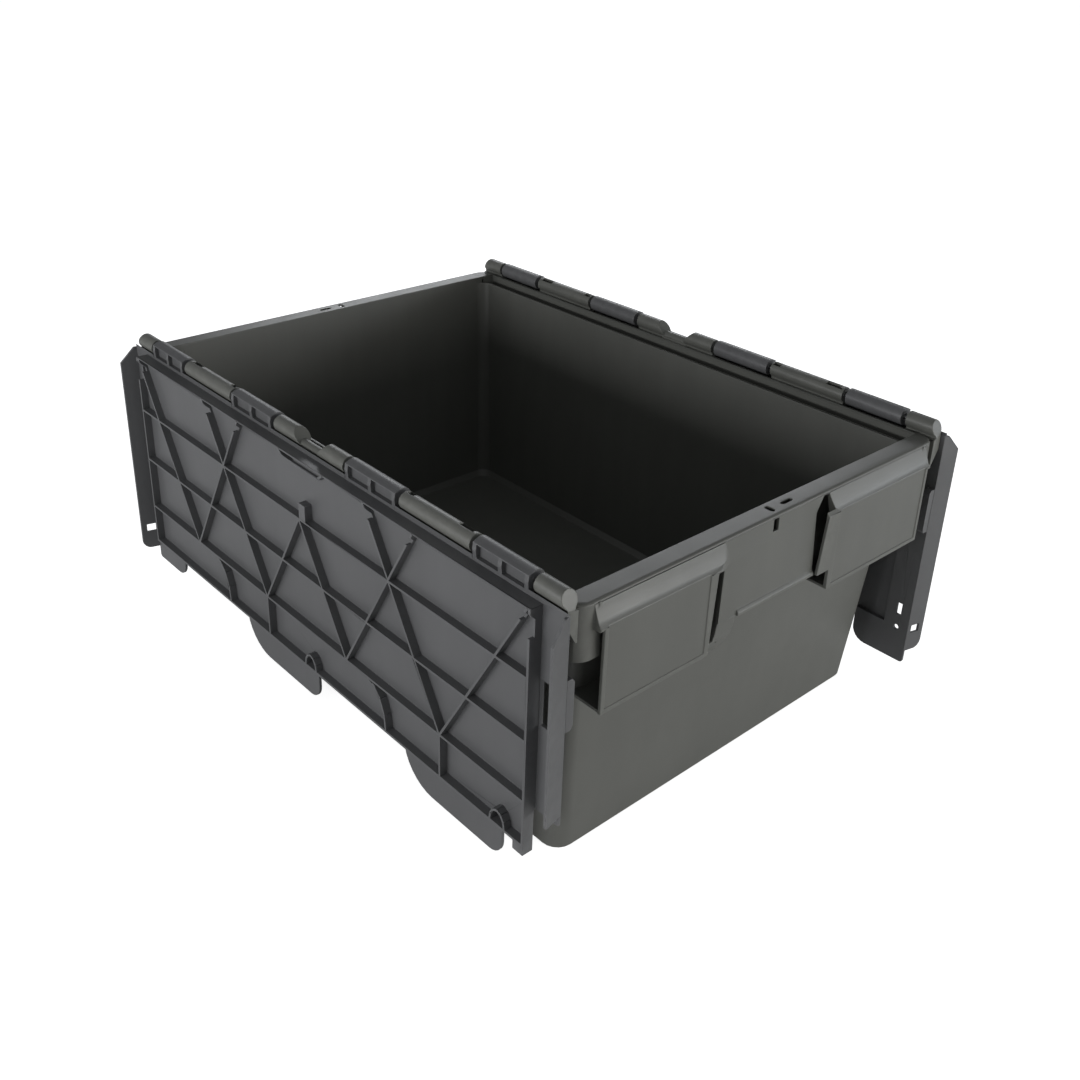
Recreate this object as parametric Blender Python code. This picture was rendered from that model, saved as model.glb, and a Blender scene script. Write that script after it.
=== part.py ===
"""Attached-lid storage crate: a moulded tub, two interlocking lids and four hinge wires.

X runs along the long sides, Y across the tub and Z up. The origin is the middle of the tub's
underside. Both lids are modelled hanging open. Dimensions are millimetres, and MM turns them
into metres when a mesh is made.
"""

from math import asin, cos, degrees, pi, radians, sin, sqrt

import bmesh
import bpy

MM = 0.001

# Tub: a tapered shell with a hood round its rim
TUB_HEIGHT = 239.6
BASE_HALF_X = 259.0
BASE_HALF_Y = 180.0
MOUTH_HALF_X = 277.9
MOUTH_HALF_Y = 191.9
SHELL_WALL = 2.5
FLOOR_THICKNESS = 4.0
FLOOR_FILLET = 5.0
BASE_CORNER = 15.0
MOUTH_CORNER = 12.5

# Hood: the skirt that hangs from the rim
HOOD_WALL = 2.4
RIM_THICKNESS = 2.7
HOOD_TOP = (292.6, 204.6)
RIM_ROUND = 2.2
HOOD_SHOULDER = (292.9, 204.7)
HOOD_FOOT = (295.2, 205.4)
HOOD_CORNER = 13.0
SHOULDER_Z = 224.0
HOOD_FOOT_Z = 172.0
CORNER_SKIRT_Z = 197.0

# Long sides: a low inner wall and a channel that takes the closed lid's first rib
CHANNEL_HALF_X = 275.2
LOW_WALL_Z = 233.0
UPSTAND_Z = 238.8
CHANNEL_FLOOR = (223.6, 226.2)

# Label pads on the short ends; left and right are as seen from outside the crate
PAD_OUTER_Y = 186.0
PAD_BOTTOM = 154.0
PAD_TOP = 221.2
PAD_FACE_X = 300.0
PAD_BACK_X = 297.4
PAD_RECESS = 0.8
PAD_LIP = 3.5
LEFT_LABEL_START = 84.0
RIGHT_LABEL_START = 66.0
LEFT_PAD_INNER = (75.8, 79.5)
RIGHT_PAD_INNER = (51.0, 60.5)
GRIP_FOOT_Z = 172.0
GRIP_HALF_Y = 45.0
SHELF = (PAD_BOTTOM, 156.4)

# Hinge
HINGE_Y = 208.5
HINGE_Z = 247.0
WIRE_RADIUS = 2.0
WIRE_REACH = (24.0, 284.0)
TUB_BORE = 2.3
LID_BORE = 2.6
TUB_KNUCKLE_RADIUS = 6.8
LID_KNUCKLE_RADIUS = 7.5
TUB_KNUCKLES = ((22.0, 49.0), (120.0, 199.0), (263.0, 287.0))
LID_KNUCKLES = ((53.0, 116.0), (203.0, 259.0))
KNUCKLE_STEPS = 24
KNUCKLE_FOOT_Z = 228.0

# Lid, in its own frame: X along the hinge, U inwards from the hinge when closed, V up
STRIP = (-7.0, -4.4)
PANEL = (-11.0, -8.4)
RIB_EDGE = -17.8
FIRST_RIB_EDGE = -17.2
SKIRT_EDGE = -22.6
RIB_WIDTH = 2.0
ROW_FIRST = 9.0
ROW_PITCH = 50.6
ROW_BASE = 60.9
ROW_LAST = 200.5
HALF_BAY = 30.0
FRAME_RIB_X = 272.2
LID_HALF_X = 295.5
SKIRT_HALF_X = 300.0
SKIRT_WALL = 2.3
NOTCH_END_U = 173.0
LOBE_TIP_U = 242.5
END_LOBE_TIP_U = 233.0
LOBES = ((-119.2, -0.8), (120.8, 239.2))
END_LOBE_X = -240.8

PLASTIC = (0.066, 0.066, 0.064)
LID_PLASTIC = (0.062, 0.063, 0.066)
STEEL = (0.60, 0.61, 0.62)


def remove_everything():
    for item in list(bpy.data.objects):
        bpy.data.objects.remove(item, do_unlink=True)


def make_material(name, colour, roughness, metallic):
    material = bpy.data.materials.new(name)
    material.use_nodes = True
    shader = material.node_tree.nodes["Principled BSDF"]
    shader.inputs["Base Color"].default_value = (*colour, 1.0)
    shader.inputs["Roughness"].default_value = roughness
    shader.inputs["Metallic"].default_value = metallic
    return material


# ---------------------------------------------------------------- solids

def mesh_object(vertices, faces):
    mesh = bpy.data.meshes.new("solid")
    mesh.from_pydata([[value * MM for value in vertex] for vertex in vertices], [], faces)
    work = bmesh.new()
    work.from_mesh(mesh)
    bmesh.ops.recalc_face_normals(work, faces=work.faces)
    work.to_mesh(mesh)
    work.free()
    item = bpy.data.objects.new("solid", mesh)
    bpy.context.scene.collection.objects.link(item)
    return item


def loft(sections):
    """A closed solid through a stack of outlines that have the same number of points."""
    count = len(sections[0])
    vertices = [point for section in sections for point in section]
    last = (len(sections) - 1) * count
    faces = [list(range(count)), [last + index for index in range(count)]]
    for level in range(len(sections) - 1):
        start = level * count
        for index in range(count):
            after = (index + 1) % count
            faces.append([start + index, start + after, start + count + after, start + count + index])
    return mesh_object(vertices, faces)


def placed(outline, along, axis):
    if axis == "X":
        return [(along, first, second) for first, second in outline]
    if axis == "Y":
        return [(first, along, second) for first, second in outline]
    return [(first, second, along) for first, second in outline]


def prism(outline, start, end, axis):
    """The outline swept along one axis; its points hold the other two coordinates in order."""
    return loft([placed(outline, start, axis), placed(outline, end, axis)])


def box(x_range, y_range, z_range):
    low_y, high_y = y_range
    low_z, high_z = z_range
    outline = [(low_y, low_z), (high_y, low_z), (high_y, high_z), (low_y, high_z)]
    return prism(outline, x_range[0], x_range[1], "X")


def mirrored(low, high, sign):
    """A range of distances from the middle, put on the side that sign names."""
    return (sign * low, sign * high) if sign > 0 else (sign * high, sign * low)


def arc(centre, radius, start, end, steps):
    """Points on an arc, from one angle to another in degrees."""
    angles = [radians(start + (end - start) * index / steps) for index in range(steps + 1)]
    return [(centre[0] + radius * cos(angle), centre[1] + radius * sin(angle)) for angle in angles]


def rounded_rectangle(half_x, half_y, radius, steps=5):
    outline = []
    for corner, (sign_x, sign_y) in enumerate(((1, 1), (-1, 1), (-1, -1), (1, -1))):
        centre = (sign_x * (half_x - radius), sign_y * (half_y - radius))
        outline += arc(centre, radius, corner * 90, corner * 90 + 90, steps)
    return outline


def combine(base, tools, operation):
    """Apply one exact Boolean with every tool, and remove the tools."""
    group = bpy.data.collections.new("tools")
    bpy.context.scene.collection.children.link(group)
    for tool in tools:
        group.objects.link(tool)
    modifier = base.modifiers.new("combine", "BOOLEAN")
    modifier.operation = operation
    modifier.solver = "EXACT"
    modifier.operand_type = "COLLECTION"
    modifier.collection = group
    depsgraph = bpy.context.evaluated_depsgraph_get()
    depsgraph.update()
    result = bpy.data.meshes.new_from_object(base.evaluated_get(depsgraph))
    base.modifiers.remove(modifier)
    base.data = result
    for tool in tools:
        bpy.data.objects.remove(tool, do_unlink=True)
    bpy.data.collections.remove(group)
    return base


def unite(solids):
    return combine(solids[0], solids[1:], "UNION")


def cut(base, cutters):
    return combine(base, cutters, "DIFFERENCE")


def finish(item, name, material):
    item.name = name
    item.data.name = name
    item.data.materials.clear()
    item.data.materials.append(material)
    item.data.shade_smooth()
    item.data.set_sharp_from_angle(angle=radians(35))
    return item


# ---------------------------------------------------------------- tub

def shell_half(z, inset):
    """Half sizes of the shell at a height, moved in by the given distance."""
    share = z / TUB_HEIGHT
    half_x = BASE_HALF_X + (MOUTH_HALF_X - BASE_HALF_X) * share
    half_y = BASE_HALF_Y + (MOUTH_HALF_Y - BASE_HALF_Y) * share
    corner = BASE_CORNER + (MOUTH_CORNER - BASE_CORNER) * share
    return half_x - inset, half_y - inset, corner - min(inset, SHELL_WALL)


def shell_section(z, inset):
    return placed(rounded_rectangle(*shell_half(z, inset)), z, "Z")


def shell_outside():
    chamfer = 1.5
    base = placed(rounded_rectangle(*shell_half(0.0, chamfer)), 0.0, "Z")
    return loft([base, shell_section(chamfer, 0.0), shell_section(TUB_HEIGHT, 0.0)])


def shell_hollow():
    bottom = shell_section(FLOOR_THICKNESS, SHELL_WALL + FLOOR_FILLET)
    fillet = shell_section(FLOOR_THICKNESS + FLOOR_FILLET, SHELL_WALL)
    return loft([bottom, fillet, shell_section(TUB_HEIGHT + 6.0, SHELL_WALL)])


def hood_ring():
    """The skirt that hangs from the rim all the way round, with its top edge rounded."""
    levels = [(HOOD_FOOT_Z, HOOD_FOOT), (SHOULDER_Z, HOOD_SHOULDER)]
    for angle in (0.0, 30.0, 60.0, 90.0):
        inset = RIM_ROUND * (1.0 - cos(radians(angle)))
        z = TUB_HEIGHT - RIM_ROUND * (1.0 - sin(radians(angle)))
        levels.append((z, (HOOD_TOP[0] - inset, HOOD_TOP[1] - inset)))
    outside = [placed(rounded_rectangle(*half, HOOD_CORNER), z, "Z") for z, half in levels]
    narrowed = (HOOD_TOP[0] - RIM_ROUND, HOOD_TOP[1] - RIM_ROUND)
    levels = [(HOOD_FOOT_Z - 1.0, HOOD_FOOT), levels[1], levels[2], (TUB_HEIGHT + 1.0, narrowed)]
    inside = []
    for z, (half_x, half_y) in levels:
        hole = rounded_rectangle(half_x - HOOD_WALL, half_y - HOOD_WALL, HOOD_CORNER - HOOD_WALL)
        inside.append(placed(hole, z, "Z"))
    return cut(loft(outside), [loft(inside)])


def rim_plate():
    """The flat rim of both short ends, from the shell's mouth to the hood."""
    half_x, half_y = (half - RIM_ROUND - 0.5 for half in HOOD_TOP)
    outline = rounded_rectangle(half_x, half_y, HOOD_CORNER - 0.5)
    plate = prism(outline, TUB_HEIGHT - RIM_THICKNESS, TUB_HEIGHT, "Z")
    gap = box((-CHANNEL_HALF_X, CHANNEL_HALF_X), (-210.0, 210.0), (TUB_HEIGHT - 5.0, TUB_HEIGHT + 5.0))
    return cut(plate, [gap])


def channel(sign):
    """Floor and end walls of the channel on one long side."""
    wall_y = mirrored(188.5, 203.4, sign)
    solids = [box((-276.4, 276.4), wall_y, CHANNEL_FLOOR)]
    for end in (-1, 1):
        wall_x = mirrored(CHANNEL_HALF_X, 277.6, end)
        solids.append(box(wall_x, wall_y, (CHANNEL_FLOOR[0] + 0.7, 238.2)))
    return solids


def pad_plate(end, hand):
    """The upright plate of one label pad; hand is -1 for the left pad and 1 for the right."""
    if hand < 0:
        inner = [(LEFT_PAD_INNER[1], PAD_BOTTOM), (LEFT_PAD_INNER[0], PAD_TOP)]
    else:
        inner = [(RIGHT_PAD_INNER[1], PAD_BOTTOM), (RIGHT_PAD_INNER[1] - 0.7, GRIP_FOOT_Z)]
        inner += [(GRIP_HALF_Y, GRIP_FOOT_Z), (RIGHT_PAD_INNER[0], PAD_TOP)]
    outline = inner + [(PAD_OUTER_Y, PAD_TOP), (PAD_OUTER_Y, PAD_BOTTOM)]
    outline = [(end * hand * y, z) for y, z in outline]
    low, high = mirrored(PAD_BACK_X, PAD_FACE_X, end)
    return prism(outline, low, high, "X")


def pad_cove(end, hand):
    """The concave band from the pad's top edge up to the rim, its inner end cut on a slant."""
    profile = [(291.8, 219.0), (298.8, 219.0), (PAD_FACE_X, PAD_TOP), (297.4, 224.3), (296.2, 227.2)]
    profile += [(294.9, 230.5), (293.7, 234.0), (292.8, 237.2), (291.8, 237.2)]
    side = end * hand
    inner = []
    for x, z in profile:
        y = 50.5
        if hand < 0:
            y = 73.0 - 2.47 * (PAD_FACE_X - x) + 0.5355 * (z - PAD_TOP)
        inner.append((end * x, side * y, z))
    outer = [(end * x, side * 189.5, z) for x, z in profile]
    return loft([inner, outer])


def pad_back(end, hand):
    """What closes a pad's hollow: the shelf below and the webs on either side."""
    side = end * hand
    web_y = 60.0 if hand < 0 else GRIP_HALF_Y - 1.6
    web_foot = 152.0 if hand < 0 else 176.0
    shelf_y = 78.0 if hand < 0 else RIGHT_PAD_INNER[1]
    return [
        box(mirrored(266.0, 299.0, end), mirrored(shelf_y, PAD_OUTER_Y - 0.6, side), SHELF),
        box(mirrored(270.0, 292.0, end), mirrored(web_y - 1.2, web_y + 1.2, side), (web_foot, 238.0)),
        box(mirrored(270.0, 293.6, end), mirrored(183.8, 186.2, side), (200.0, 238.0)),
    ]


def grip_cheek(end):
    """The curved plate that runs from the hood down to the wall, between left pad and grip."""
    face = [(294.7, 177.0), (295.0, 171.0), (294.4, 163.0), (292.8, 156.0)]
    face += [(289.0, 147.5), (282.0, 137.0), (273.0, 126.0)]
    back = [(292.2, 177.0), (292.3, 171.0), (291.8, 163.6), (290.2, 157.0)]
    back += [(286.4, 149.0), (279.4, 138.6), (269.0, 126.0)]
    solids = []
    for part, outer_y in ((slice(0, 4), 66.4), (slice(3, 7), 79.0)):
        section = face[part] + back[part][::-1]
        low, high = mirrored(GRIP_HALF_Y + 1.0, outer_y, -end)
        solids.append(prism([(end * x, z) for x, z in section], low, high, "Y"))
    return solids


def pad_hollow_cutters(end, hand):
    """The pad's hollow back, open at its outer side, and the slit beside its inner edge."""
    side = end * hand
    depth = mirrored(284.0, PAD_BACK_X, end)
    if hand < 0:
        hollow_start = 80.5
        slit = [(61.5, 216.5), (67.0, SHELF[1]), (81.5, SHELF[1]), (81.5, 216.5)]
    else:
        hollow_start = 62.0
        slit = [(50.5, 236.4), (43.6, 224.5), (GRIP_HALF_Y + 0.6, 160.0)]
        slit += [(63.0, 160.0), (63.0, 218.0), (57.0, 236.4)]
    return [
        box(depth, mirrored(hollow_start, 183.6, side), (SHELF[1], 219.0)),
        box(depth, mirrored(182.0, 192.0, side), (SHELF[1], CORNER_SKIRT_Z - 1.0)),
        prism([(side * y, z) for y, z in slit], *depth, "X"),
    ]


def label_recess(end, hand):
    """The shallow recess in the pad's face that takes a label."""
    start = LEFT_LABEL_START if hand < 0 else RIGHT_LABEL_START
    return box(
        mirrored(PAD_FACE_X - PAD_RECESS, PAD_FACE_X + 2.0, end),
        mirrored(start, PAD_OUTER_Y - PAD_LIP, end * hand),
        (PAD_BOTTOM + PAD_LIP, PAD_TOP + 4.0),
    )


def grip_lip(end):
    """The thickened lower edge of the grip in the middle of a short end."""
    profile = [(293.2, 171.0), (296.8, 171.0), (297.0, 173.4), (295.2, 175.8), (293.2, 176.4)]
    outline = [(end * x, z) for x, z in profile]
    return prism(outline, -GRIP_HALF_Y, GRIP_HALF_Y, "Y")


def skirt_cutters():
    """What is taken off the foot of the hood: everything but the middle of each short end."""
    cutters = []
    for side in (-1, 1):
        cutters.append(box((-284.0, 284.0), mirrored(193.0, 215.0, side), (160.0, CORNER_SKIRT_Z)))
        for end in (-1, 1):
            corner_x = mirrored(283.0, 310.0, end)
            cutters.append(box(corner_x, mirrored(182.6, 216.0, side), (159.0, CORNER_SKIRT_Z)))
        for near, far, z in ((200.0, 215.0, UPSTAND_Z), (178.0, 200.5, LOW_WALL_Z)):
            span = (-CHANNEL_HALF_X, CHANNEL_HALF_X)
            cutters.append(box(span, mirrored(near, far, side), (z, TUB_HEIGHT + 5.0)))
    return cutters


def tie_hole_cutters(end):
    """Two slots in the rim and one in the hood for a tie, with the rim thinned round them."""
    top = (TUB_HEIGHT - 6.0, TUB_HEIGHT + 4.0)
    across = arc((285.4, -3.3), 2.2, -90, 90, 5) + arc((281.0, -3.3), 2.2, 90, 270, 5)
    along = arc((283.2, 20.5), 1.9, 0, 180, 5) + arc((283.2, 11.5), 1.9, 180, 360, 5)
    cutters = []
    for outline in (across, along):
        cutters.append(prism([(end * x, end * y) for x, y in outline], *top, "Z"))
    under = (TUB_HEIGHT - 6.0, TUB_HEIGHT - 1.3)
    cutters.append(box(mirrored(278.6, 289.4, end), mirrored(-7.0, 26.0, end), under))
    cutters.append(box(mirrored(288.8, 300.0, end), mirrored(-9.2, -3.2, end), (226.4, 236.4)))
    return cutters


def knuckle_profile(side):
    """A tub knuckle's section in Y and Z, with the web that ties it to the hood."""
    barrel = arc((HINGE_Y, HINGE_Z), TUB_KNUCKLE_RADIUS, -57, 237, KNUCKLE_STEPS)
    points = [(HINGE_Y + 3.7, KNUCKLE_FOOT_Z)] + barrel
    points += [(HINGE_Y - 3.0, 239.2), (202.6, 238.2), (202.6, 214.0), (204.2, 214.0)]
    return [(side * y, z) for y, z in points]


def tub_knuckle(low, high, end, side):
    """One knuckle; the first and last on each half slope down at their free end."""
    top = HINGE_Z + 8.0
    foot = HINGE_Z - 7.0
    slopes = []
    if low == TUB_KNUCKLES[0][0]:
        slopes.append([(low + 1.0, top), (low - 12.0, foot), (low - 20.0, foot), (low - 20.0, top)])
        low -= 12.0
    if high == TUB_KNUCKLES[-1][1]:
        slopes.append([(high - 0.6, top), (high + 5.0, foot), (high + 10.0, foot), (high + 10.0, top)])
        high += 5.0
    knuckle = loft([placed(knuckle_profile(side), end * x, "X") for x in (low, high)])
    if not slopes:
        return knuckle
    cutters = []
    for slope in slopes:
        outline = [(end * x, z) for x, z in slope]
        cutters.append(prism(outline, side * (HINGE_Y - 18.0), side * (HINGE_Y + 16.0), "Y"))
    return cut(knuckle, cutters)


def middle_bar(side):
    """The bar between the two middle knuckles of a long side."""
    profile = [(HINGE_Y + 1.5, 230.0)] + arc((HINGE_Y, 241.3), 4.3, -50, 205, 10)
    profile += [(202.6, 238.2), (202.6, 214.0), (204.2, 214.0)]
    return prism([(side * y, z) for y, z in profile], -16.0, 16.0, "X")


def bore(radius, low, high, end, centre):
    outline = arc(centre, radius, 0, 360 - 360 / 16, 15)
    start, stop = mirrored(low, high, end)
    return prism(outline, start, stop, "X")


def knuckle_cutters(end, side):
    """The wire's bore and the two small slots in the top of the long knuckle."""
    start = WIRE_REACH[0] - 0.5
    cutters = [bore(TUB_BORE, start, WIRE_REACH[1] + 0.5, end, (side * HINGE_Y, HINGE_Z))]
    low, high = TUB_KNUCKLES[1]
    slot_y = mirrored(HINGE_Y - 4.0, HINGE_Y + 0.6, side)
    for start, stop in ((low + 1.5, low + 9.0), (high - 19.0, high - 4.0)):
        cutters.append(box(mirrored(start, stop, end), slot_y, (250.2, 256.0)))
    return cutters


def build_tub(material):
    solids = [shell_outside(), hood_ring(), rim_plate()]
    cutters = [shell_hollow()] + skirt_cutters()
    late_solids = []
    late_cutters = []
    for side in (-1, 1):
        solids += channel(side)
        late_solids.append(middle_bar(side))
        for end in (-1, 1):
            late_solids += [tub_knuckle(low, high, end, side) for low, high in TUB_KNUCKLES]
            late_cutters += knuckle_cutters(end, side)
    for end in (-1, 1):
        solids += [grip_lip(end)] + grip_cheek(end)
        cutters += tie_hole_cutters(end)
        for hand in (-1, 1):
            solids += [pad_cove(end, hand)] + pad_back(end, hand)
            late_solids.append(pad_plate(end, hand))
            cutters += pad_hollow_cutters(end, hand)
            late_cutters.append(label_recess(end, hand))
    tub = cut(unite(solids), cutters)
    tub = cut(unite([tub] + late_solids), late_cutters)
    return finish(tub, "tub", material)


# ---------------------------------------------------------------- lid

def rib(start, end):
    """A rib that stands on the panel between two points given as (x, u)."""
    across = (end[1] - start[1], start[0] - end[0])
    length = sqrt(across[0] ** 2 + across[1] ** 2)
    offset = (across[0] / length * RIB_WIDTH / 2, across[1] / length * RIB_WIDTH / 2)
    outline = [
        (start[0] + offset[0], start[1] + offset[1]),
        (end[0] + offset[0], end[1] + offset[1]),
        (end[0] - offset[0], end[1] - offset[1]),
        (start[0] - offset[0], start[1] - offset[1]),
    ]
    return prism(outline, RIB_EDGE, PANEL[1] - 1.0, "Z")


def row(number):
    """Distance of a lengthwise rib from the hinge; row 0 is the one at the hinge."""
    return ROW_BASE + ROW_PITCH * (number - 1) if number else ROW_FIRST


def truss_ribs():
    """The lengthwise and crossing ribs of the panel."""
    half = FRAME_RIB_X
    ribs = [rib((-half, row(number)), (half, row(number))) for number in (1, 2, 3)]
    for side in (-1, 1):
        for foot, head, top in ((2, 0, 1), (2, 5, 0), (6, 3, 0), (6, 9, 0)):
            ribs.append(rib((side * foot * HALF_BAY, row(3)), (side * head * HALF_BAY, row(top))))
    for x in (-2 * HALF_BAY, 6 * HALF_BAY):
        ribs.append(rib((x, row(3)), (x, ROW_LAST)))
    pocket = [(-26.0, ROW_FIRST), (-14.0, 18.0), (25.0, 18.0), (37.0, ROW_FIRST)]
    curves = [pocket]
    for foot in (-128.0, 112.0):
        quarter = arc((0.0, 0.0), 1.0, -90, 0, 4)
        curves.append([(foot + 24.0 * (x - 1.0), ROW_LAST + 38.4 * u) for x, u in quarter])
    for _, lobe_end in LOBES:
        dome = arc((lobe_end + 6.0, 0.0), 8.0, -180, 0, 6)
        curves.append([(x, ROW_LAST + u * 1.6) for x, u in dome])
    for curve in curves:
        ribs += [rib(start, end) for start, end in zip(curve, curve[1:])]
    return ribs


def relief_cutter(x_range, inner_u):
    """The space that the tub's long wall sweeps through as the lid opens."""
    clearance = 21.6
    top = LOW_WALL_Z + 0.6 - HINGE_Z
    bottom = RIB_EDGE - 1.2
    start = -degrees(asin(-bottom / clearance))
    end = -degrees(asin(-top / clearance))
    outline = arc((0.0, 0.0), clearance, start, end, 5) + [(inner_u, top), (inner_u, bottom)]
    return prism(outline, x_range[0], x_range[1], "X")


def frame_ribs():
    """The ribs that step the panel down from the plate round it."""
    half = FRAME_RIB_X
    wide = 1.1
    panel_top = PANEL[1]
    plate_top = STRIP[1]
    return [
        box((-half - wide, -half + wide), (8.4, ROW_LAST + wide), (RIB_EDGE, plate_top)),
        box((half - wide, half + wide), (8.4, NOTCH_END_U), (RIB_EDGE, plate_top)),
        box((half - wide, half + wide), (NOTCH_END_U - 2.0, ROW_LAST + wide), (RIB_EDGE, panel_top)),
        box((-half - wide, half + wide), (ROW_LAST - wide, ROW_LAST + wide), (RIB_EDGE, panel_top)),
    ]


def first_rib():
    edge = FRAME_RIB_X + 1.1
    return box((-edge, edge), (8.2, 9.8), (FIRST_RIB_EDGE, STRIP[1] - 0.2))


def lobe(low, high, tip, near_radius, far_radius):
    """A flat lobe past the last rib, with its two free corners rounded."""
    outline = [(low, ROW_LAST - 1.1), (high, ROW_LAST - 1.1)]
    outline += arc((high - far_radius, tip - far_radius), far_radius, 0, 90, 6)
    outline += arc((low + near_radius, tip - near_radius), near_radius, 90, 180, 8)
    return prism(outline, STRIP[0], STRIP[1], "Z")


def lobes():
    solids = []
    for low, high in LOBES:
        solids.append(lobe(low, high, LOBE_TIP_U, 36.0, 14.0))
        solids.append(box((low, high), (ROW_LAST - 1.1, ROW_LAST + 1.1), (PANEL[0], STRIP[1])))
    solids.append(lobe(-LID_HALF_X, END_LOBE_X, END_LOBE_TIP_U, 3.0, 14.0))
    root = (ROW_LAST - 1.1, ROW_LAST + 1.1)
    solids.append(box((-FRAME_RIB_X, END_LOBE_X), root, (PANEL[0], STRIP[1])))
    return solids


def plates():
    """The hinge strip, the end strips and the recessed panel."""
    edge = [(4.3, STRIP[0]), (6.7, STRIP[1]), (9.2, STRIP[1]), (9.2, STRIP[0])]
    half = FRAME_RIB_X - 0.5
    return [
        prism(edge, -LID_HALF_X, LID_HALF_X, "X"),
        box((half, LID_HALF_X), (8.6, NOTCH_END_U), STRIP),
        box((-LID_HALF_X, -half), (8.6, ROW_LAST), STRIP),
        box((-half, half), (8.6, ROW_LAST), PANEL),
    ]


def skirt(end, stop, foot_chamfer):
    """The skirt down one end of the lid, with its hinge end and far end cut back."""
    def section(u, depth):
        share = (depth - STRIP[1]) / (SKIRT_EDGE - STRIP[1])
        outer = LID_HALF_X + (SKIRT_HALF_X - LID_HALF_X) * share
        points = [(LID_HALF_X - SKIRT_WALL, STRIP[1]), (LID_HALF_X, STRIP[1])]
        points += [(outer, depth), (outer - SKIRT_WALL, depth)]
        return [(end * x, u, v) for x, v in points]

    sections = [section(7.0, -9.5), section(21.4, SKIRT_EDGE)]
    sections.append(section(stop - foot_chamfer, SKIRT_EDGE))
    steps = 4
    for index in range(1, steps + 1):
        angle = pi / 2 * index / steps
        u = stop - foot_chamfer * (1.0 - sin(angle))
        sections.append(section(u, SKIRT_EDGE + foot_chamfer * (1.0 - cos(angle))))
    return loft(sections)


def stacking_ridges():
    """A low ridge on the top face at each end, which keeps stacked crates in place."""
    solids = []
    for end in (-1, 1):
        foot = STRIP[0] + 0.5
        profile = [(56.0, foot), (97.0, foot), (97.0, 0.5), (94.0, 2.5), (59.0, 2.5), (56.0, 0.5)]
        low, high = mirrored(289.5, LID_HALF_X - 0.3, end)
        solids.append(prism(profile, low, high, "X"))
    return solids


def lid_knuckles():
    """The lid's knuckles with the web that runs into the hinge strip."""
    solids = []
    for end in (-1, 1):
        for low, high in LID_KNUCKLES:
            start, stop = mirrored(low, high, end)
            last = 360 - 360 / KNUCKLE_STEPS
            round_part = arc((0.0, 0.0), LID_KNUCKLE_RADIUS, 0, last, KNUCKLE_STEPS - 1)
            solids.append(prism(round_part, start, stop, "X"))
            web = [(-5.2, STRIP[0] + 0.2), (-2.0, STRIP[0] - 0.05), (9.0, STRIP[0] - 0.05)]
            web += [(9.0, STRIP[1] + 0.2), (6.0, 0.6), (-7.2, 0.6), (-7.2, -1.6)]
            solids.append(prism(web, start, stop, "X"))
    return solids


def lid_cutters():
    cutters = [
        relief_cutter((-270.4, 270.4), 20.2),
        relief_cutter((-274.0, -270.0), 30.5),
        relief_cutter((270.0, 274.0), 30.5),
        box((274.6, 283.0), (65.0, 101.0), (STRIP[0] - 2.0, STRIP[1] + 2.0)),
        box((-286.2, -281.2), (175.0, 187.0), (STRIP[0] - 2.0, STRIP[1] + 2.0)),
        prism(arc((-283.7, 200.0), 2.5, 0, 330, 11), STRIP[0] - 2.0, STRIP[1] + 2.0, "Z"),
        box((-303.0, -290.0), (194.0, 202.0), (-17.5, -8.5)),
    ]
    for end in (-1, 1):
        for low, high in LID_KNUCKLES:
            cutters.append(bore(LID_BORE, low - 2.0, high + 2.0, end, (0.0, 0.0)))
            middle = (low + high) / 2
            width = (high - low - 12.0) / 2
            for start in (middle - 2.0 - width, middle + 2.0):
                cutters.append(box(mirrored(start, start + width, end), (-4.4, 5.6), (-9.0, -3.4)))
    return cutters


def build_lid_mesh():
    solids = plates() + frame_ribs() + [first_rib()] + lobes()
    solids += truss_ribs() + stacking_ridges() + lid_knuckles()
    solids += [skirt(1, 165.0, 3.0), skirt(-1, 220.4, 8.0)]
    solids.append(box((1.0, 10.0), (46.0, row(1)), (RIB_EDGE, PANEL[1] - 1.2)))
    solids.append(box((262.5, FRAME_RIB_X + 1.1), (ROW_LAST, 209.0), (RIB_EDGE, PANEL[1])))
    return cut(unite(solids), lid_cutters())


def place_lids(material):
    front = finish(build_lid_mesh(), "lid_front", material)
    front.location = (0.0, -HINGE_Y * MM, HINGE_Z * MM)
    front.rotation_euler = (radians(-90.0), 0.0, 0.0)
    rear = bpy.data.objects.new("lid_rear", front.data)
    bpy.context.scene.collection.objects.link(rear)
    rear.location = (0.0, HINGE_Y * MM, HINGE_Z * MM)
    rear.rotation_euler = (radians(-90.0), 0.0, radians(180.0))


# ---------------------------------------------------------------- wires

def build_wires(material):
    for side, side_name in ((-1, "front"), (1, "rear")):
        for end, end_name in ((-1, "left"), (1, "right")):
            wire = bore(WIRE_RADIUS, WIRE_REACH[0], WIRE_REACH[1], end, (side * HINGE_Y, HINGE_Z))
            finish(wire, f"hinge_wire_{side_name}_{end_name}", material)


def main():
    remove_everything()
    tub_plastic = make_material("tub_plastic", PLASTIC, 0.48, 0.0)
    lid_plastic = make_material("lid_plastic", LID_PLASTIC, 0.48, 0.0)
    steel = make_material("zinc_steel", STEEL, 0.35, 1.0)
    build_tub(tub_plastic)
    place_lids(lid_plastic)
    build_wires(steel)


main()
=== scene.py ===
"""Looks for the attached-lid storage crate: plastic, wire, rounded edges, studio light and camera.

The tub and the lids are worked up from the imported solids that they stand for, so they fit and
move as the solids do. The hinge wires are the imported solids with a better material.
Lengths are in metres.
"""
from math import cos, radians, sin

import bmesh
import bpy
from mathutils import Matrix, Vector


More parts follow.
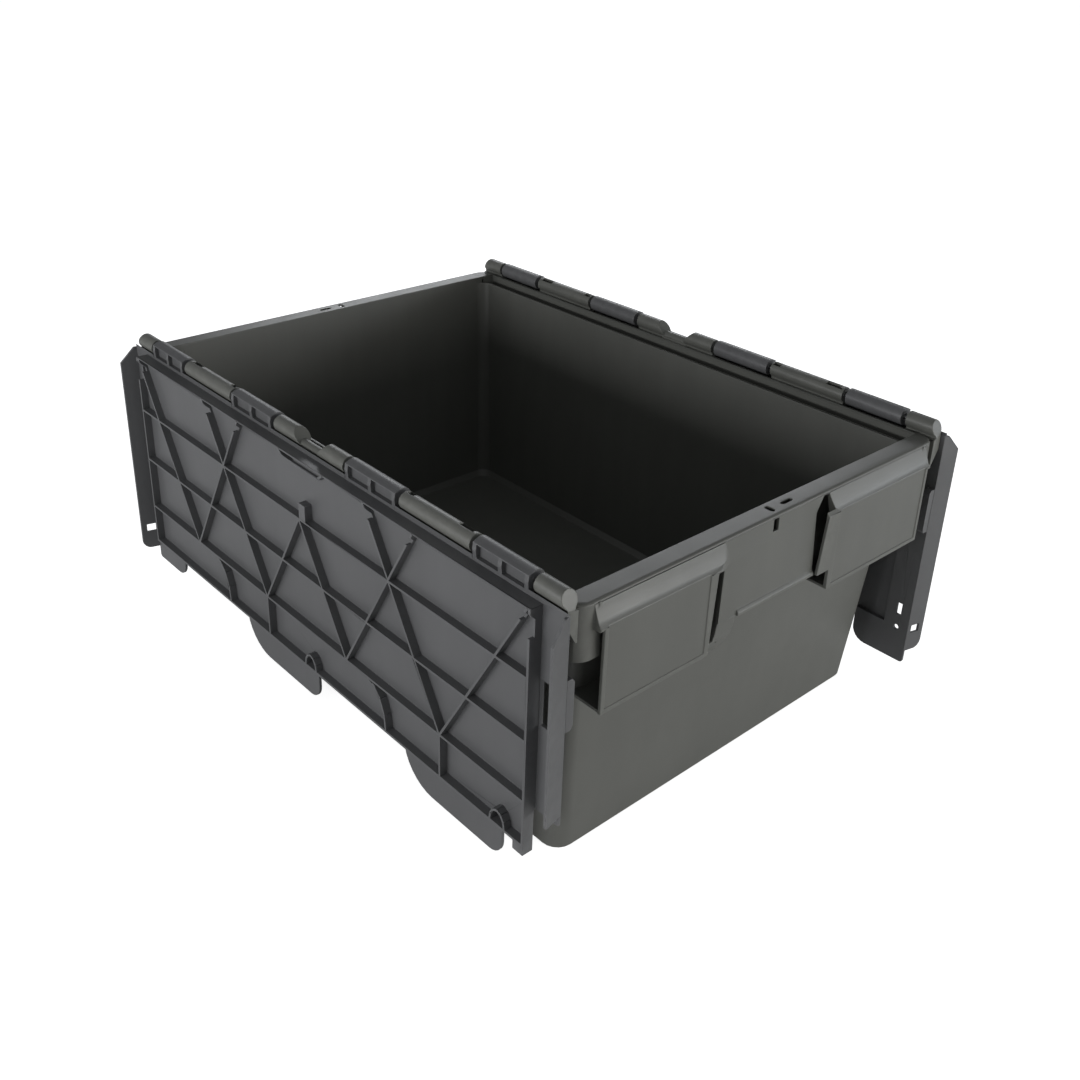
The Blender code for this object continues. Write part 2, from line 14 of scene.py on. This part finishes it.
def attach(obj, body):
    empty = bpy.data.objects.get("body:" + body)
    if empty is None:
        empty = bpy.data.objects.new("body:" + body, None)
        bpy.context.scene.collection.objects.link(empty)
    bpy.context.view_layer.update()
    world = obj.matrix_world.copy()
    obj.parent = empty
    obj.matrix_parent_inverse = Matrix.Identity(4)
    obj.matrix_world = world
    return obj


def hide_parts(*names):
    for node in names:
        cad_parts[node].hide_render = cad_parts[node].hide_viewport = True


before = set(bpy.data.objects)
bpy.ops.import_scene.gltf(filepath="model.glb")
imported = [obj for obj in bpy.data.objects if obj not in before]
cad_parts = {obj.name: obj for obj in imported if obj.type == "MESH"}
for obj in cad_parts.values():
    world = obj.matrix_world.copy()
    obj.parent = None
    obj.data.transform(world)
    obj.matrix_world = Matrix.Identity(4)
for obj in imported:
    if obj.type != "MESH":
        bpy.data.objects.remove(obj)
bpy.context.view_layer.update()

# Camera
CAMERA_TARGET = Vector((-0.04261, 0.07135, 0.13577))
CAMERA_DISTANCE = 1.17885
CAMERA_AZIMUTH = 47.15
CAMERA_ELEVATION = 25.6
CAMERA_ROLL = 2.06
CAMERA_LENS_MM = 40.12
CAMERA_SHIFT = (-0.0013, -0.0769)

# Points closer than this are one point
MERGE_DISTANCE = 0.00002
# Edges whose faces meet at more than this angle are rounded, with this many segments
SHARP_ANGLE = radians(32)
ROUNDING_SEGMENTS = 2
TUB_ROUNDING = 0.0005
LID_ROUNDING = 0.00035
# Edges whose faces meet at an angle between these, in radians, keep each face's own shading
NEARLY_FLAT = (0.003, 0.14)

# The floor lies this much under the base, so that the two never share a plane
FLOOR_GAP = 0.0004
FLOOR_REACH = 14.0
FLOOR_COLOUR = (0.92, 0.92, 0.92, 1.0)
FLOOR_ROUGHNESS = 0.8
# The floor's own glow: what it gives to the object, and how much more the camera sees
FLOOR_GLOW = 0.06
FLOOR_GLOW_SEEN = 0.78

# Light that comes evenly from all round, and how bright the backdrop looks
AMBIENT = 0.20
BACKDROP = 1.06
BACKDROP_COLOUR = (0.96, 0.98, 1.0, 1.0)

# Area lights: name, azimuth and elevation, distance, width and height, power, colour
LIGHT_AIM = Vector((0.0, 0.0, 0.13))
LIGHTS = (
    ("key", (108.0, 6.0), 2.6, (1.6, 0.5), 22.5, (1.0, 0.985, 0.95)),
    ("fill", (-4.0, 8.0), 2.6, (2.0, 0.6), 38.0, (0.98, 0.985, 1.0)),
    ("sheen", (134.0, 8.0), 2.4, (1.2, 0.4), 10.0, (0.88, 0.93, 1.0)),
    ("back", (226.0, 24.0), 2.6, (1.8, 0.6), 17.0, (0.95, 0.97, 1.0)),
)

# Colours, linear
TUB_COLOUR = (0.117, 0.119, 0.108)
LID_COLOUR = (0.100, 0.101, 0.103)
STEEL_COLOUR = (0.62, 0.63, 0.64)

# Moulded plastic: how far its tone drifts, how much brighter a sharp edge is (partly scuffing, partly
# a painted edge highlight), and how much rougher it is
DARKER, LIGHTER = 0.93, 1.07
SCUFF_AND_HIGHLIGHT_BRIGHTNESS = 1.75
SCUFF_ROUGHNESS = 0.12
PLASTIC_ROUGHNESS = (0.37, 0.43)
PLASTIC_IOR = 1.49
PLASTIC_SPECULAR = 0.45
SINK_MARK_HEIGHT = 0.0003
GRAIN_HEIGHT = 0.00012
TUB_GRAIN = 2600.0
LID_GRAIN = 2400.0

# Zinc-plated wire
WIRE_DULLER = 0.8
WIRE_ROUGHNESS = (0.24, 0.42)
DRAW_MARK_HEIGHT = 0.00005


# ---------------------------------------------------------------- materials

class Graph:
    """A short way to add linked nodes to one material."""

    def __init__(self, name):
        self.material = bpy.data.materials.new(name)
        self.material.use_nodes = True
        self.tree = self.material.node_tree
        self.shader = self.tree.nodes["Principled BSDF"]

    def add(self, kind, **settings):
        node = self.tree.nodes.new(kind)
        for key, value in settings.items():
            setattr(node, key, value)
        return node

    def link(self, source, target):
        self.tree.links.new(source, target)

    def noise(self, position, scale, detail=2.0, roughness=0.5):
        node = self.add("ShaderNodeTexNoise")
        node.inputs["Scale"].default_value = scale
        node.inputs["Detail"].default_value = detail
        node.inputs["Roughness"].default_value = roughness
        self.link(position, node.inputs["Vector"])
        return node.outputs["Fac"]

    def ramp(self, value, from_range, to_range):
        node = self.add("ShaderNodeMapRange")
        node.inputs["From Min"].default_value, node.inputs["From Max"].default_value = from_range
        node.inputs["To Min"].default_value, node.inputs["To Max"].default_value = to_range
        self.link(value, node.inputs["Value"])
        return node.outputs["Result"]

    def math(self, operation, first, second):
        node = self.add("ShaderNodeMath", operation=operation)
        for socket, value in zip(node.inputs, (first, second)):
            if isinstance(value, (int, float)):
                socket.default_value = value
            else:
                self.link(value, socket)
        return node.outputs[0]

    def mix(self, factor, first, second):
        node = self.add("ShaderNodeMix", data_type="RGBA")
        self.link(factor, node.inputs["Factor"])
        colours = [item for item in node.inputs if item.type == "RGBA"]
        for socket, value in zip(colours, (first, second)):
            if isinstance(value, tuple):
                socket.default_value = (*value, 1.0)
            else:
                self.link(value, socket)
        return [item for item in node.outputs if item.type == "RGBA"][0]

    def bump(self, height, strength, distance, normal=None):
        node = self.add("ShaderNodeBump")
        node.inputs["Strength"].default_value = strength
        node.inputs["Distance"].default_value = distance
        self.link(height, node.inputs["Height"])
        if normal is not None:
            self.link(normal, node.inputs["Normal"])
        return node.outputs["Normal"]


def shade(colour, factor):
    return tuple(channel * factor for channel in colour)


def moulded_plastic(name, colour, grain):
    """Satin polypropylene: fine spark grain, soft sink marks, flow streaks, and sharp edges lightened
    partly as scuffing and partly as a painted edge highlight.
    """
    graph = Graph(name)
    position = graph.add("ShaderNodeTexCoord").outputs["Object"]
    geometry = graph.add("ShaderNodeNewGeometry")

    stretch = graph.add("ShaderNodeMapping")
    stretch.inputs["Scale"].default_value = (1.0, 1.0, 0.16)
    graph.link(position, stretch.inputs["Vector"])
    streaks = graph.noise(stretch.outputs["Vector"], 55.0, 3.0)
    cloud = graph.noise(position, 9.0, 3.0)
    tone = graph.math("ADD", graph.math("MULTIPLY", cloud, 0.6), graph.math("MULTIPLY", streaks, 0.4))
    drift = graph.ramp(tone, (0.3, 0.7), (0.0, 1.0))
    body = graph.mix(drift, shade(colour, DARKER), shade(colour, LIGHTER))

    # Sharp edges are painted lighter: partly real scuffing, partly a painted highlight where light
    # would catch the rounded edges
    scuff_and_highlight_noise = graph.noise(position, 130.0, 4.0, 0.65)
    edges = graph.ramp(geometry.outputs["Pointiness"], (0.505, 0.57), (0.0, 1.0))
    scuff_and_edge_highlight = graph.ramp(graph.math("MULTIPLY", edges, scuff_and_highlight_noise), (0.18, 0.62), (0.0, 0.55))
    base = graph.mix(scuff_and_edge_highlight, body, shade(colour, SCUFF_AND_HIGHLIGHT_BRIGHTNESS))
    graph.link(base, graph.shader.inputs["Base Color"])

    rough = graph.ramp(graph.noise(position, 34.0, 3.0), (0.3, 0.7), PLASTIC_ROUGHNESS)
    rough = graph.math("ADD", rough, graph.math("MULTIPLY", scuff_and_edge_highlight, SCUFF_ROUGHNESS))
    graph.link(rough, graph.shader.inputs["Roughness"])

    sink_marks = graph.bump(graph.noise(position, 16.0, 1.0), 0.2, SINK_MARK_HEIGHT)
    fine = graph.bump(graph.noise(position, grain, 2.0), 0.22, GRAIN_HEIGHT, sink_marks)
    graph.link(fine, graph.shader.inputs["Normal"])
    graph.shader.inputs["IOR"].default_value = PLASTIC_IOR
    graph.shader.inputs["Specular IOR Level"].default_value = PLASTIC_SPECULAR
    return graph.material


def zinc_wire(name):
    """Drawn and zinc-plated wire with faint lengthwise draw marks and duller patches."""
    graph = Graph(name)
    position = graph.add("ShaderNodeTexCoord").outputs["Object"]
    stretch = graph.add("ShaderNodeMapping")
    stretch.inputs["Scale"].default_value = (0.03, 1.0, 1.0)
    graph.link(position, stretch.inputs["Vector"])
    marks = graph.noise(stretch.outputs["Vector"], 2600.0, 2.0)
    patches = graph.noise(position, 60.0, 3.0)
    tone = graph.ramp(patches, (0.35, 0.7), (0.0, 1.0))
    base = graph.mix(tone, shade(STEEL_COLOUR, WIRE_DULLER), STEEL_COLOUR)
    graph.link(base, graph.shader.inputs["Base Color"])
    graph.link(graph.ramp(patches, (0.3, 0.7), WIRE_ROUGHNESS), graph.shader.inputs["Roughness"])
    graph.link(graph.bump(marks, 0.3, DRAW_MARK_HEIGHT), graph.shader.inputs["Normal"])
    graph.shader.inputs["Metallic"].default_value = 1.0
    return graph.material


# ---------------------------------------------------------------- pieces

def worked_up(node, name, rounding_width):
    """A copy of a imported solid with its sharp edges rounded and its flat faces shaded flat."""
    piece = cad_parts[node].copy()
    piece.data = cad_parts[node].data.copy()
    piece.name = name
    for key in list(piece.keys()):
        del piece[key]
    bpy.context.scene.collection.objects.link(piece)
    work = bmesh.new()
    work.from_mesh(piece.data)
    bmesh.ops.remove_doubles(work, verts=work.verts, dist=MERGE_DISTANCE)
    for edge in work.edges:
        edge.smooth = not NEARLY_FLAT[0] < edge.calc_face_angle(0.0) < NEARLY_FLAT[1]
    for face in work.faces:
        face.smooth = True
    work.to_mesh(piece.data)
    work.free()
    rounding = piece.modifiers.new("rounded_edges", "BEVEL")
    rounding.width = rounding_width
    rounding.segments = ROUNDING_SEGMENTS
    rounding.limit_method = "ANGLE"
    rounding.angle_limit = SHARP_ANGLE
    rounding.use_clamp_overlap = False
    rounding.miter_outer = "MITER_ARC"
    shading = piece.modifiers.new("flat_faces", "WEIGHTED_NORMAL")
    shading.keep_sharp = True
    shading.weight = 100
    return piece


def dress(piece, node, body, material):
    """Gives a piece its material and its place in the frame."""
    piece.data.materials.clear()
    piece.data.materials.append(material)
    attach(piece, body)
    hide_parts(node)
    return piece


def make_pieces():
    tub_plastic = moulded_plastic("olive_grey_polypropylene", TUB_COLOUR, TUB_GRAIN)
    lid_plastic = moulded_plastic("neutral_grey_polypropylene", LID_COLOUR, LID_GRAIN)
    tub = worked_up("tub", "tub_moulding", TUB_ROUNDING)
    dress(tub, "tub", "tub", tub_plastic)
    for side in ("front", "rear"):
        node = f"lid_{side}"
        lid = worked_up(node, f"{side}_lid_moulding", LID_ROUNDING)
        dress(lid, node, f"{side}_lid", lid_plastic)
    steel = zinc_wire("zinc_plated_wire")
    for node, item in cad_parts.items():
        if node.startswith("hinge_wire"):
            item.data.materials.clear()
            item.data.materials.append(steel)


# ---------------------------------------------------------------- stage

def make_camera():
    azimuth, elevation, roll = (radians(a) for a in (CAMERA_AZIMUTH, CAMERA_ELEVATION, CAMERA_ROLL))
    back = Vector((sin(azimuth) * cos(elevation), -cos(azimuth) * cos(elevation), sin(elevation)))
    level = Vector((cos(azimuth), sin(azimuth), 0.0))
    above = back.cross(level)
    right = level * cos(roll) + above * sin(roll)
    up = above * cos(roll) - level * sin(roll)
    data = bpy.data.cameras.new("camera")
    data.lens = CAMERA_LENS_MM
    data.sensor_width = 36.0
    data.shift_x, data.shift_y = CAMERA_SHIFT
    data.clip_start, data.clip_end = 0.05, 50.0
    camera = bpy.data.objects.new("camera", data)
    camera.matrix_world = Matrix((right, up, back)).transposed().to_4x4()
    camera.location = CAMERA_TARGET + back * CAMERA_DISTANCE
    bpy.context.scene.collection.objects.link(camera)
    bpy.context.scene.camera = camera


def make_floor():
    mesh = bpy.data.meshes.new("floor")
    signs = ((-1, -1), (1, -1), (1, 1), (-1, 1))
    corners = [(along * FLOOR_REACH, across * FLOOR_REACH, -FLOOR_GAP) for along, across in signs]
    mesh.from_pydata(corners, [], [(0, 1, 2, 3)])
    floor = bpy.data.objects.new("floor", mesh)
    bpy.context.scene.collection.objects.link(floor)
    graph = Graph("pale_floor")
    graph.shader.inputs["Base Color"].default_value = FLOOR_COLOUR
    graph.shader.inputs["Roughness"].default_value = FLOOR_ROUGHNESS
    graph.shader.inputs["Emission Color"].default_value = (1.0, 1.0, 1.0, 1.0)
    camera_ray = graph.add("ShaderNodeLightPath").outputs["Is Camera Ray"]
    seen = graph.math("MULTIPLY", camera_ray, FLOOR_GLOW_SEEN)
    graph.link(graph.math("ADD", seen, FLOOR_GLOW), graph.shader.inputs["Emission Strength"])
    mesh.materials.append(graph.material)


def make_light(name, direction, distance, size, power, colour):
    """An area light aimed at the object; its azimuth is measured as the camera's is."""
    turn, rise = (radians(angle) for angle in direction)
    back = Vector((sin(turn) * cos(rise), -cos(turn) * cos(rise), sin(rise)))
    data = bpy.data.lights.new(name, "AREA")
    data.shape = "RECTANGLE"
    data.size, data.size_y = size
    data.energy = power
    data.color = colour
    light = bpy.data.objects.new(name, data)
    light.rotation_mode = "QUATERNION"
    light.rotation_quaternion = (-back).to_track_quat("-Z", "Y")
    light.location = LIGHT_AIM + back * distance
    bpy.context.scene.collection.objects.link(light)


def make_lights():
    world = bpy.data.worlds.new("studio")
    bpy.context.scene.world = world
    world.use_nodes = True
    tree = world.node_tree
    background = tree.nodes["Background"]
    background.inputs["Color"].default_value = BACKDROP_COLOUR
    seen = tree.nodes.new("ShaderNodeLightPath")
    strength = tree.nodes.new("ShaderNodeMapRange")
    strength.inputs["To Min"].default_value = AMBIENT
    strength.inputs["To Max"].default_value = BACKDROP
    tree.links.new(seen.outputs["Is Camera Ray"], strength.inputs["Value"])
    tree.links.new(strength.outputs["Result"], background.inputs["Strength"])
    for settings in LIGHTS:
        make_light(*settings)
    bpy.context.scene.view_settings.view_transform = "Standard"


make_camera()
make_floor()
make_lights()
make_pieces()
